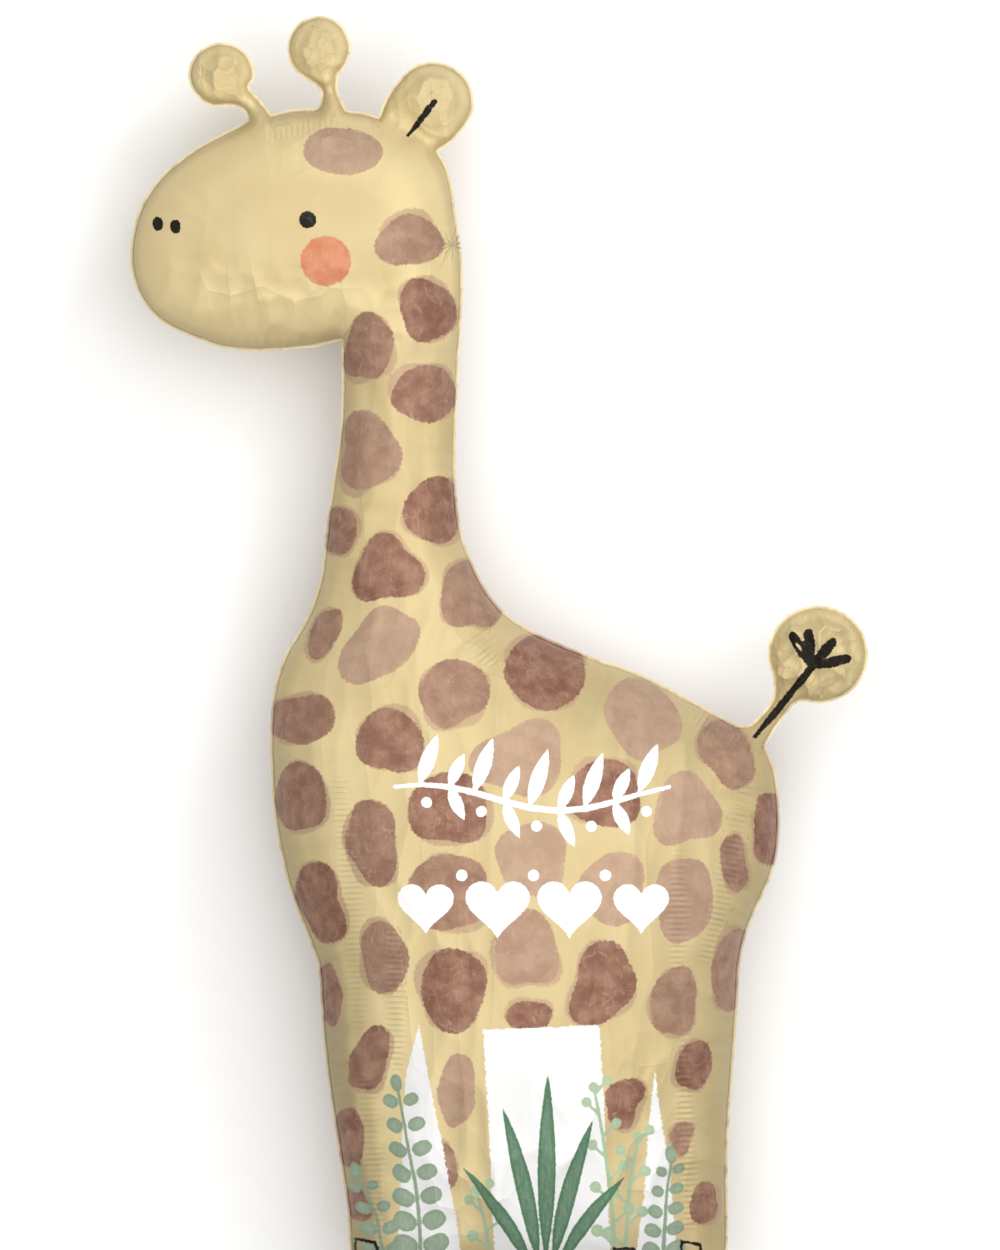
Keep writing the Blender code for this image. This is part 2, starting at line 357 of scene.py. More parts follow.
def stroke_edge(points, path, widths):
    """Distance inside a brush stroke along a path, its half-width running from first to last."""
    path = np.array(path, float)
    share = np.linspace(0, 1, max(len(path), len(widths)))
    widths = np.interp(share, np.linspace(0, 1, len(widths)), widths)
    at = np.linspace(0, 1, len(path))
    path = np.column_stack([np.interp(share, at, path[:, k]) for k in (0, 1)])
    best = np.full(len(points), -1e3)
    for a, b, wide_a, wide_b in zip(path, path[1:], widths, widths[1:]):
        t, away = to_segment(points, a, b)
        best = np.maximum(best, wide_a + (wide_b - wide_a) * t - away)
    return best


def polygon_edge(points, corners):
    """Distance inside a polygon."""
    corners = np.array(corners, float)
    near = np.full(len(points), 1e3)
    for a, b in zip(corners, np.roll(corners, -1, axis=0)):
        near = np.minimum(near, to_segment(points, a, b)[1])
    return np.where(inside_loop(points, corners), near, -near)


def union(*edges):
    """Distance inside any of the shapes."""
    return np.maximum.reduce(edges)


# The spots: centre, half-width, half-height, tilt, depth of colour, how far three corners are
# pulled out and the heading of one of them; angles in degrees
SPOTS = (
    (-132, 420, 32, 20, -4, 0.0, 0.04, 20), (-76, 345, 27, 21, 8, 0.5, 0.06, 90),
    (-61, 287, 22, 27, 25, 1.0, 0.05, 120), (-110, 256, 20, 28, -14, 0.75, 0.08, 225),
    (-63, 217, 27, 23, -6, 0.85, 0.05, 190), (-109, 168, 24, 32, 4, 0.5, 0.16, -8),
    (-56, 119, 24, 27, -6, 1.0, 0.10, 65), (-134, 102, 14, 20, -8, 0.75, 0.03, 0),
    (-95, 69, 28, 27, 0, 0.95, 0.17, 100), (-25, 47, 24, 29, 15, 0.55, 0.08, 100),
    (-147, 17, 11, 23, -25, 0.7, 0.04, 0), (-101, 6, 25, 37, -48, 0.0, 0.05, 215),
    (-39, -33, 29, 27, 14, 0.55, 0.05, 120), (38, -16, 33, 31, -10, 1.0, 0.04, 30),
    (-166, -56, 28, 20, 10, 0.75, 0.05, 40), (-92, -74, 28, 26, -10, 0.9, 0.07, 320),
    (119, -55, 28, 35, 42, 0.0, 0.03, 0), (190, -84, 20, 30, 28, 0.5, 0.05, 300),
    (-167, -121, 21, 29, -5, 0.8, 0.03, 90), (-107, -158, 21, 35, 8, 0.75, 0.08, 60),
    (-43, -130, 34, 29, 0, 1.0, 0.05, 200), (18, -89, 37, 30, 10, 0.0, 0.15, 180),
    (87, -118, 31, 28, 0, 1.0, 0.07, 200), (156, -132, 28, 29, 0, 0.0, 0.13, 345),
    (227, -148, 15, 30, 0, 1.0, 0.02, 0), (196, -177, 11, 24, 8, 0.6, 0.04, 90),
    (-151, -208, 18, 35, 18, 1.0, 0.09, 300), (-43, -200, 34, 31, 0, 0.65, 0.04, 70),
    (27, -172, 30, 30, 0, 0.0, 0.04, 45), (94, -197, 27, 30, -18, 0.0, 0.08, 60),
    (154, -206, 24, 35, 0, 0.05, 0.03, 0), (-97, -255, 19, 30, 5, 0.5, 0.04, 120),
    (-39, -281, 27, 34, 0, 1.0, 0.07, 270), (22, -248, 27, 31, 4, 0.25, 0.09, 90),
    (86, -277, 25, 35, -22, 1.0, 0.10, 225), (24, -303, 19, 12, 0, 1.0, 0.02, 0),
    (145, -292, 19, 29, -9, 0.5, 0.05, 60), (195, -266, 17, 35, -6, 0.6, 0.02, 0),
    (-143, -287, 11, 26, 4, 1.0, 0.02, 0), (-109, -340, 15, 28, -16, 0.85, 0.05, 60),
    (162, -345, 15, 21, -16, 1.0, 0.04, 45), (-36, -366, 15, 31, -6, 0.1, 0.04, 60),
    (-126, -408, 13, 26, 2, 1.0, 0.04, 90), (-45, -430, 9, 19, 8, 0.6, 0.03, 90),
    (103, -375, 15, 21, -14, 1.0, 0.13, 275), (151, -405, 8, 14, -14, 0.5, 0.12, 275),
    (-120, -462, 10, 16, 10, 0.9, 0.05, 80), (171, -462, 11, 18, -8, 0.9, 0.05, 80),
)


def spot_layers(points, random):
    """(edge, halo edge, depth of colour) of the brushed spots."""
    edge = np.full(len(points), -1e3)
    halo = np.full(len(points), -1e3)
    tone = np.zeros(len(points))
    for x, y, wide, high, tilt, depth, pull, heading in SPOTS:
        wobble = [(random.uniform(0.01, 0.035), random.uniform(0, 6.28)) for _ in range(4)]
        own = blob_edge(points, (x, y), (wide, high), tilt, wobble, pull, heading)
        shift = random.uniform(-2.4, 2.4, 2)
        wobble = [(random.uniform(0.01, 0.04), random.uniform(0, 6.28)) for _ in range(4)]
        radii = (wide + 1.6, high + 1.6)
        under = blob_edge(points, (x + shift[0], y + shift[1]), radii, tilt, wobble, pull, heading)
        tone = np.where(own > edge, depth, tone)
        halo = np.where(under > halo, under if depth > 0.2 else own - 3, halo)
        edge = np.maximum(edge, own)
    return edge, halo, tone


def face_ink(points):
    """Eye, nostrils, the ear's stroke and the tail's tuft, with a gap in its first petal."""
    eye = disc_edge(points, (-161, 362.4), 7.2)
    nostrils = [
        blob_edge(points, centre, (4.4, 6.0), 4, [(0.03, 0.4)])
        for centre in ((-287, 359.5), (-272, 356.8))
    ]
    ear_line = [(-77, 434.5), (-69, 444), (-60, 456), (-54.8, 462.4)]
    ear = stroke_edge(points, ear_line, (1.4, 2.4, 3.0, 2.2))
    stalk_line = [(213.6, -71), (229, -53), (247, -31), (261, -13)]
    stalk = stroke_edge(points, stalk_line, (1.6, 3.2, 3.2, 3.6))
    tuft = [
        stroke_edge(points, [(261, -12), tip], (2.2, 3.0, 4.4, 4.7, 3.8))
        for tip in ((247, 12), (259, 16), (279, 8.5), (291, -5.5))
    ]
    gap = stroke_edge(points, [(252.5, 1.5), (248.5, 8.5)], (0.3, 1.2, 0.5))
    return union(eye, *nostrils, ear, stalk, np.minimum(union(*tuft), -gap))


# The hooves: left, right and top of each, and the line they are drawn down to
HOOVES = ((-124, -100, -492), (-45, -12, -508), (92, 116, -497), (150, 171, -494))
HOOF_LINE = -524


def hoof_ink(points):
    """Loose hand-drawn lines round each hoof."""
    edges = []
    for left, right, top in HOOVES:
        line = [
            (left + 3, top), (left + 1, HOOF_LINE), (left + 6, HOOF_LINE - 2),
            (right - 2, HOOF_LINE), (right, HOOF_LINE + 3), (right - 4, top - 2), (left + 3, top),
        ]
        edges.append(stroke_edge(points, line, (1.2, 1.6, 1.1, 1.5, 1.2)))
    return union(*edges)


def between_legs(points):
    """The white shapes between the legs."""
    fore = [
        (-68, -311), (-59, -355), (-52, -392), (-40, -454), (-30, -520), (-86, -520), (-82, -430),
        (-79, -355),
    ]
    middle = [(-14, -315), (83, -311), (87, -380), (93, -520), (-4, -520), (-8, -420)]
    hind = [
        (128.5, -351), (136, -400), (143, -440), (150, -520), (112, -520), (120, -454), (125, -390),
    ]
    return union(*(polygon_edge(points, shape) for shape in (fore, middle, hind)))


def heart(centre, size):
    """Outline of a heart, as wide as size."""
    t = 2 * np.pi * np.arange(40) / 40
    x = 16 * np.sin(t) ** 3
    y = 13 * np.cos(t) - 5 * np.cos(2 * t) - 2 * np.cos(3 * t) - np.cos(4 * t)
    return np.array(centre) + size * np.column_stack([x, y]) / 32


def white_motif(points):
    """A sprig of white brush dabs along a curved stem, over a row of hearts and dots."""
    stem = [(-88 + 23 * i, -121 + 11 * math.cos(math.pi * (i - 1) / 5)) for i in range(11)]
    edges = [stroke_edge(points, stem, (1.6, 2.6, 2.6, 2.6, 1.6))]
    for i in range(1, 10):
        x, y = stem[i]
        lean = 15
        size = 46 - 1.1 * abs(i - 5) ** 1.4
        if i % 2:
            edges.append(leaf_edge(points, (x - 2, y + 3), (x - 2 + lean, y + 3 + size), 13))
            edges.append(disc_edge(points, (x + 3.5, y - 15), 4.6))
        else:
            for side in (1, -1):
                tip = (x + lean * 0.8, y + side * (2 + 0.62 * size))
                edges.append(leaf_edge(points, (x, y + side * 2), tip, 11))
    for k, size in enumerate((47, 54, 54, 47)):
        edges.append(polygon_edge(points, heart((-62 + 60 * k, -211), size)))
    for k in range(3):
        edges.append(disc_edge(points, (-32 + 60 * k, -186.0), 4.8))
    return union(*edges)


def leaf_edge(points, base, tip, width, bend=None, stalk=0.0):
    """Distance inside a pointed leaf curved towards bend, its stalk a share of its length."""
    base, tip = np.array(base, float), np.array(tip, float)
    bend = (base + tip) / 2 if bend is None else np.array(bend, float)
    steps = [i / 14 for i in range(15)]
    path = [base * (1 - t) ** 2 + 2 * bend * t * (1 - t) + tip * t * t for t in steps]
    blade = [max(0.0, (t - stalk) / (1 - stalk)) for t in steps]
    widths = [
        max(1.5 if t < 0.5 else 0.4, width / 2 * math.sin(math.pi * t**0.85) ** 0.8) for t in blade
    ]
    return stroke_edge(points, path, widths)


# The plants, all rooted on one line: lean and reach of each pointed leaf, and its width; then
# root, lean, length, number of leaf pairs and their size for each twig; then root, lean, length
# and number of berries for each sprig
ROOT_LINE = -523
TUFT_ROOT = 38
POINTED_LEAVES = ((-68, 92, 12), (-36, 142, 14), (2, 170, 15), (39, 132, 14), (66, 84, 12))
TWIGS = ((-66, -20, 158, 7, 11.5), (-96, -24, 84, 4, 9.0), (137, 6, 98, 5, 9.0))
BERRY_SPRIGS = ((96, -18, 160, 8), (104, 12, 118, 6), (-8, -12, 74, 4))


def stem_point(root, lean, length, t):
    """The point at a share t of the way up a stem that leans further as it rises."""
    return root + lean * t * t, ROOT_LINE + length * t


def greenery(points):
    """(dark, sage, pale) edges of the plants: pointed leaves, round-leaved twigs, berries."""
    quarters = (0, 0.25, 0.5, 0.75, 1)
    dark, sage, pale = [], [], []
    for lean, reach, width in POINTED_LEAVES:
        base = (TUFT_ROOT + lean * 0.1, ROOT_LINE)
        bend = (TUFT_ROOT + lean * 0.42, ROOT_LINE + reach * 0.55)
        tip = (TUFT_ROOT + lean, ROOT_LINE + reach)
        dark.append(leaf_edge(points, base, tip, width, bend, 0.1))
    for *stem, pairs, large in TWIGS:
        path = [stem_point(*stem, t) for t in quarters]
        sage.append(stroke_edge(points, path, (1.7, 1.5, 1.1)))
        for i in range(pairs):
            t = (i + 1.1) / (pairs + 0.7)
            x, y = stem_point(*stem, t)
            size = large * (1 - 0.45 * t)
            for side in (-1, 1):
                centre = (x + side * (size + 2.2), y + 0.45 * size + side)
                radii = (size, size * 0.78)
                sage.append(blob_edge(points, centre, radii, side * 28, [(0.03, 1.0)]))
        bud = (path[-1][0] - 1, path[-1][1] + 5)
        sage.append(blob_edge(points, bud, (4.6, 7.4), 8, [(0.02, 0.5)]))
    for *stem, berries in BERRY_SPRIGS:
        path = [stem_point(*stem, t) for t in quarters]
        pale.append(stroke_edge(points, path, (1.8, 1.6, 1.2)))
        for i in range(berries):
            t = (i + 1.6) / (berries + 0.9)
            x, y = stem_point(*stem, t)
            side = 1 if i % 2 else -1
            end = (x + side * (15 - 5 * t), y + 11)
            pale.append(stroke_edge(points, [(x, y), end], (1.3, 1.1)))
            pale.append(disc_edge(points, end, 5.4 - 1.4 * t))
        pale.append(disc_edge(points, path[-1], 4.2))
    return union(*dark), union(*sage), union(*pale)


# Relief

# Small round parts: centre and reach, in drawn millimetres
BALLS = (((-234, 485), 36), ((-152, 507), 36), ((-56, 462), 44), ((267, -2), 50))

# Their facets: size and the radius they are cut to, in millimetres, slope outside a ring, seed
BALL_FACETS = ((17, 24, 0.04, 31), (13, 19, 0.04, 32), (21, 44, 0.0, 33), (17, 13, 0.30, 34))

# Gathers along the weld: pitch, how far in they reach, height and seed
GATHERS = ((7.5, 9, 0.34, 11), (15, 28, 0.60, 12), (34, 62, 0.85, 13))

# Fans of ridges where the outline pulls the film tight: origin, heading and spread in degrees,
# reach, number of ridges and their height in millimetres
FANS = (
    ((-40, 341), 205, 140, 40, 8, 1.3), ((-133, 262), 40, 130, 50, 7, 1.2),
    ((-153, -262), 5, 120, 44, 6, 1.3), ((4, 34), 215, 80, 66, 6, 1.3),
    ((214, -70), 215, 110, 48, 7, 1.3), ((-196, 449), 280, 110, 34, 6, 1.0),
    ((-142, 456), 268, 110, 34, 6, 1.0), ((222, -79), 230, 100, 40, 6, 1.0),
    ((128, -340), 265, 70, 60, 4, 0.9), ((200, -292), 185, 90, 40, 5, 0.9),
    ((-34, 150), 190, 90, 30, 4, 0.8), ((-160, 30), -15, 80, 46, 4, 0.9),
    ((-70, 444), 40, 150, 44, 5, 0.35),
)

# Stars of crisp short folds: centre, number of folds, reach and rise, in drawn millimetres
STARS = (
    ((-40, 342), 10, 22, 0.9), ((-250, 483), 6, 26, 0.28), ((-8, 22), 9, 20, 0.3),
    ((-57, 470), 6, 30, 0.2),
)

# Facets in the bump: layer that gives their share, cells in a metre along X, Y and Z, how far they
# and the ridges between them rise, in millimetres
BUMPED_FACETS = (
    ("flute", (38.0, 9.0, 10.0), 2.2, 0.05), ("facet", (41.0, 37.0, 15.0), 2.9, 0.10),
    ("crumple", (98.0, 88.0, 30.0), 1.2, 0.10),
)


# Random lattices repeat after this many cells, and start far enough out to be positive throughout
LATTICE = 64
LATTICE_START = 1000


def lattice_noise(points, scale, seed):
    """Smooth noise from -1 to 1 over points, with features of about that scale."""
    values = np.random.default_rng(seed).uniform(-1, 1, (LATTICE, LATTICE))
    grid = points / scale + LATTICE_START
    cell = np.floor(grid).astype(int)
    t = grid - cell
    t = t * t * t * (t * (6 * t - 15) + 10)
    left, right = cell[:, 0] % LATTICE, (cell[:, 0] + 1) % LATTICE
    below, above = cell[:, 1] % LATTICE, (cell[:, 1] + 1) % LATTICE
    low, high = (
        values[left, row] + (values[right, row] - values[left, row]) * t[:, 0]
        for row in (below, above)
    )
    return low + (high - low) * t[:, 1]


def facet_relief(mm, size, stretch, radius, seed):
    """Relief, in millimetres, that cuts a swelling of that radius to flat facets of that size."""
    random = np.random.default_rng(seed)
    jitter = random.uniform(0.1, 0.9, (LATTICE, LATTICE, 2))
    grid = mm / (size, size * stretch) + LATTICE_START
    cell = np.floor(grid).astype(int)
    near = np.full(len(mm), 9.0)
    for i in (-1, 0, 1):
        for j in (-1, 0, 1):
            other = cell + (i, j)
            middle = other + jitter[other[:, 0] % LATTICE, other[:, 1] % LATTICE]
            near = np.minimum(near, ((grid - middle) ** 2).sum(1))
    return (near - 0.18) * size**2 / (2 * radius)


def step_up(value, low, high):
    """0 below low, 1 above high, smooth between."""
    t = np.clip((value - low) / (high - low), 0, 1)
    return t * t * (3 - 2 * t)


def small_parts(drawn):
    """1 on the ossicones' balls, the ear and the tail's ball, 0 elsewhere."""
    return union(*(step_up(disc_edge(drawn, *ball), 0, 0.35 * ball[1]) for ball in BALLS))


def crease_relief(points, depth, along):
    """How far the creases push the film out, in metres, over its smooth swelling."""
    mm = points / MM
    deep = depth / MM
    place = along / MM
    line = np.column_stack([place, np.zeros(len(place))])
    relief = np.zeros(len(points))

    # gathers along the weld, weaker on the head
    vigour = (0.65 + 0.45 * lattice_noise(line, 70, 3)) * (1 - 0.65 * step_up(mm[:, 1], 255, 320))
    for pitch, reach, size, seed in GATHERS:
        drift = lattice_noise(np.column_stack([place, deep]) / (1, 2.2), pitch * 3.2, seed)
        wave = np.cos(2 * np.pi * (place + pitch * 0.9 * drift) / pitch)
        wave = np.sign(wave) * np.abs(wave) ** 0.8
        window = step_up(deep, 3.0, 3.0 + 0.28 * reach)
        window *= 1 - step_up(deep, 0.45 * reach, 1.25 * reach)
        relief += size * vigour * wave * window

    # broad unevenness
    swell = step_up(deep, 4, 30)
    relief += 0.35 * swell * lattice_noise(mm / (1, 3.4), 21, 21)
    relief += 0.8 * swell * lattice_noise(mm / (1, 2.0), 60, 22)

    # flat facets on the small round parts, each with a ring inside the weld
    warp = np.column_stack([lattice_noise(mm, 45, 41), lattice_noise(mm, 45, 42)]) * 9
    turn = 10.5 + 2.0 * lattice_noise(line, 14, 71)
    for (centre, reach), (size, radius, ring, seed) in zip(BALLS, BALL_FACETS):
        ball = step_up(disc_edge(mm, centre, reach), 0, 0.35 * reach)
        relief *= 1 - 0.9 * ball * step_up(deep, 4, 8)
        facets = facet_relief(mm + 0.5 * warp, size, 1.0, radius, seed)
        relief += ball * step_up(deep, 3, 7) * facets
        relief -= ball * ring * np.maximum(0, turn - deep)

    # long ones down the trunk and neck, small ones under the jaw and on the legs
    body = step_up(300 - mm[:, 1], 0, 60) * step_up(200 - mm[:, 0], 0, 20)
    relief += body * step_up(deep, 6, 22) * facet_relief(mm + 1.5 * warp, 27, 4.2, 95, 36)
    jaw = step_up(mm[:, 1], 240, 262) * (1 - step_up(mm[:, 1], 300, 345)) * step_up(deep, 5, 16)
    relief += jaw * facet_relief(mm + 0.7 * warp, 23, 1.15, 62, 38)
    legs = step_up(-330 - mm[:, 1], 0, 70)
    relief += legs * step_up(deep, 5, 20) * facet_relief(mm + warp, 32, 1.9, 75, 37)
    return relief * MM


def fold_fans(points):
    """Ridges that run out from where the outline pulls the film tight."""
    mm = points / MM
    relief = np.zeros(len(points))
    random = np.random.default_rng(5)
    for origin, heading, spread, reach, count, size in FANS:
        for i in range(count):
            angle = heading + spread * ((i + 0.5) / count - 0.5) + random.uniform(-6, 6)
            angle = math.radians(angle)
            length = reach * random.uniform(0.6, 1.2)
            way = np.array((math.cos(angle), math.sin(angle)))
            offset = mm - np.array(origin)
            t = offset @ way
            across = offset[:, 0] * way[1] - offset[:, 1] * way[0]
            taper = step_up(t, 2, 8) * (1 - step_up(t, 0.4 * length, length))
            width = 1.5 + 0.05 * np.maximum(t, 0)
            relief += size * taper * np.exp(-np.abs(across) / width) * (1 if i % 3 else -1)
    return relief * MM


# Bands where the film is gathered in fine rungs: centre line, half-width and height of the rungs
RUNG_BANDS = (
    (((-136, -105), (-124, -200), (-119, -310)), 14, 0.44),
    (((-90, -235), (-86, -345)), 12, 0.42),
    (((-112, -360), (-103, -490)), 14, 0.44),
    (((208, -100), (192, -180), (172, -255)), 14, 0.46),
    (((150, -170), (148, -262)), 15, 0.30),
    (((152, -318), (160, -480)), 12, 0.32),
    (((-196, 432), (-150, 444), (-104, 436)), 10, 0.28),
    (((150, -44), (206, -80)), 14, 0.34),
    (((-22, 14), (-6, -6)), 14, 0.34),
)
RUNG_PITCH = 4.7


def rung_layers(points):
    """(height, phase) of the fine rungs, which lie across their bands."""
    mm = points / MM
    height = np.zeros(len(points))
    phase = np.zeros(len(points))
    for path, half, size in RUNG_BANDS:
        own = stroke_edge(mm, path, (half * 0.7, half, half * 0.7))
        strength = size * step_up(own, 0, 0.8 * half)
        path = np.array(path, float)
        way = (path[-1] - path[0]) / np.linalg.norm(path[-1] - path[0])
        own_phase = (mm @ way) / RUNG_PITCH
        phase = np.where(strength > height, own_phase, phase)
        height = np.maximum(height, strength)
    return height, phase


# Where fine crumples lie beside the small round parts, and how strong they are on each of them
TAIL_ROOT = ((230, -50), 34)
CRUMPLE_SHARES = (0.9, 1.1, 0.8, 1.3, 1.2)

# Where small facets lie: centre and reach
FACET_PATCHES = (
    ((-45, 335), 40), ((-150, 292), 36), ((-4, 26), 44), ((200, -84), 44), ((-146, -262), 34),
    ((-215, 290), 40), ((165, -430), 60), ((130, -350), 34), ((-150, 444), 44),
    ((-30, -470), 50), ((267, -2), 60),
)


def crease_shares(found):
    """(crumple, facet, flute): how much of each kind of fine crease the film has.

    Crumples lie on the small parts and at the weld, facets in patches where the film is pulled
    together, and flutes nearly everywhere else.
    """
    mm = found.points / MM
    crumple = 0.9 * np.exp(-found.depth / (8 * MM))
    for (centre, reach), share in zip((*BALLS, TAIL_ROOT), CRUMPLE_SHARES):
        inside = disc_edge(mm, centre, reach + 6)
        crumple = np.maximum(crumple, share * step_up(inside, 0, 0.4 * reach))
    facet = np.zeros(len(mm))
    for centre, reach in FACET_PATCHES:
        near = np.exp(-((np.linalg.norm(mm - np.array(centre), axis=1) / reach) ** 2))
        facet = np.maximum(facet, near)
    crumple = np.maximum(crumple, 0.22 * facet * (1 + lattice_noise(mm, 30, 61)))
    on_head = step_up(mm[:, 1], 270, 330)
    flute = (0.75 - 0.6 * on_head) * (1 - 0.8 * np.minimum(1, crumple))
    low = step_up(-330 - mm[:, 1], 0, 70)
    return crumple, 0.85 * facet * (1 + 0.6 * low), flute


def painted_light_and_shade(found):
    """(painted_light, shade): shares of painted light and painted shade in the sand, from 0 to 1.

    The painted shade darkens the sides inside the weld, where they turn from the light; the
    painted light brightens the middle, round the head and inside the edge of the small
    round parts.
    """

    def band(low, full, fade, high):
        """1 from full to fade millimetres inside the edge, 0 below low and above high."""
        return step_up(deep, low, full) * (1 - step_up(deep, fade, high))

    x, y = found.drawn.T
    line = np.column_stack([found.along / MM, np.zeros(len(x))])
    deep = found.depth / MM + 2.5 * lattice_noise(line, 60, 72)
    small = small_parts(found.drawn)
    on_head = step_up(y, 225, 300)
    head = on_head * band(4, 12, 34, 72) * (1 - small)
    ring = small * band(3, 7, 9, 15)
    tuft = step_up(48 - np.hypot(x - 267, y + 2), 0, 18) * step_up(deep, 12, 24)
    neck = step_up(y, 60, 130) * (1 - on_head) * band(9, 15, 20, 28)
    left = step_up(10 - x, 0, 60)
    crown = 1 - 0.65 * step_up(deep, 66, 96)
    legs = step_up(-180 - y, 0, 160) * step_up(deep, 26, 48) * crown
    trunk = 0.8 * left * step_up(-10 - y, 0, 60) + 0.2 * (1 - left) * step_up(-100 - y, 0, 60)
    chest = step_up(120 - y, 0, 60) * step_up(deep, 9, 18)
    painted_light = np.maximum.reduce([
        0.68 * head, 0.5 * ring, 0.5 * tuft, 0.3 * neck, (0.25 + 0.72 * left) * legs,
        step_up(deep, 24, 50) * trunk * crown, 0.3 * left * chest,
    ])
    low = step_up(-200 - y, 0, 160)
    # painted shade in two steps down the left side, so it looks pleated in columns
    stepped_shade = 1 - 0.7 * step_up(deep, 17, 24) - 0.3 * step_up(deep, 29, 36)
    plain = 1 - step_up(deep, 12, 34)
    side = left * (0.42 + 0.4 * low) * stepped_shade + (1 - left) * (0.34 + 0.12 * low) * plain
    back = step_up(x - 10, 0, 60) * step_up(y + 130, 0, 60) * band(8, 20, 60, 100)
    return painted_light, np.maximum(step_up(-30 - y, 0, 90) * side, 0.28 * back)


# The two sheets


def pressed_height(points, triangles, free, tie, fill):
    """Height of a membrane pressed out between its welded edges, by conjugate gradients."""
    a, b, c = (points[triangles[:, k]] for k in range(3))
    double = (b[:, 0] - a[:, 0]) * (c[:, 1] - a[:, 1]) - (b[:, 1] - a[:, 1]) * (c[:, 0] - a[:, 0])
    edges = np.stack([c - b, a - c, b - a], axis=1)
    size = len(points)
    load = np.zeros(size)
    starts, ends, pulls = [], [], []
    for i in range(3):
        load += np.bincount(triangles[:, i], double / 6, size)
        j = (i + 1) % 3
        starts.append(triangles[:, i])
        ends.append(triangles[:, j])
        pulls.append(-(edges[:, i] * edges[:, j]).sum(1) / (2 * double))
    starts, ends, pulls = (np.concatenate(x) for x in (starts, ends, pulls))
    diagonal = np.bincount(starts, pulls, size) + np.bincount(ends, pulls, size) + tie * load

    def pull(u):
        """How hard the membrane pulls back at each point."""
        flow = pulls * (u[starts] - u[ends])
        return np.bincount(starts, flow, size) - np.bincount(ends, flow, size) + tie * load * u

    u = np.zeros(size)
    residual = np.where(free, load, 0.0)
    step = residual / diagonal
    energy = residual @ step
    goal = energy * SOLVED_SHARE
    while energy > goal:
        moved = np.where(free, pull(step), 0.0)
        pace = energy / (step @ moved)
        u += pace * step
        residual -= pace * moved
        scaled = residual / diagonal
        fresh = residual @ scaled
        step = scaled + fresh / energy * step
        energy = fresh
    round_height = np.sqrt(2 * np.maximum(u, 0))
    return fill * round_height ** (1 - WIDE_LOSS) * EVEN_WIDTH**WIDE_LOSS


def vertex_normals(points, triangles):
    """Each point's normal, averaged over its faces by their area."""
    a, b, c = (points[triangles[:, k]] for k in range(3))
    face = np.cross(b - a, c - a)
    normals = np.zeros_like(points)
    for k in range(3):
        for axis in range(3):
            normals[:, axis] += np.bincount(triangles[:, k], face[:, axis], len(points))
    return normals / np.linalg.norm(normals, axis=1)[:, None]


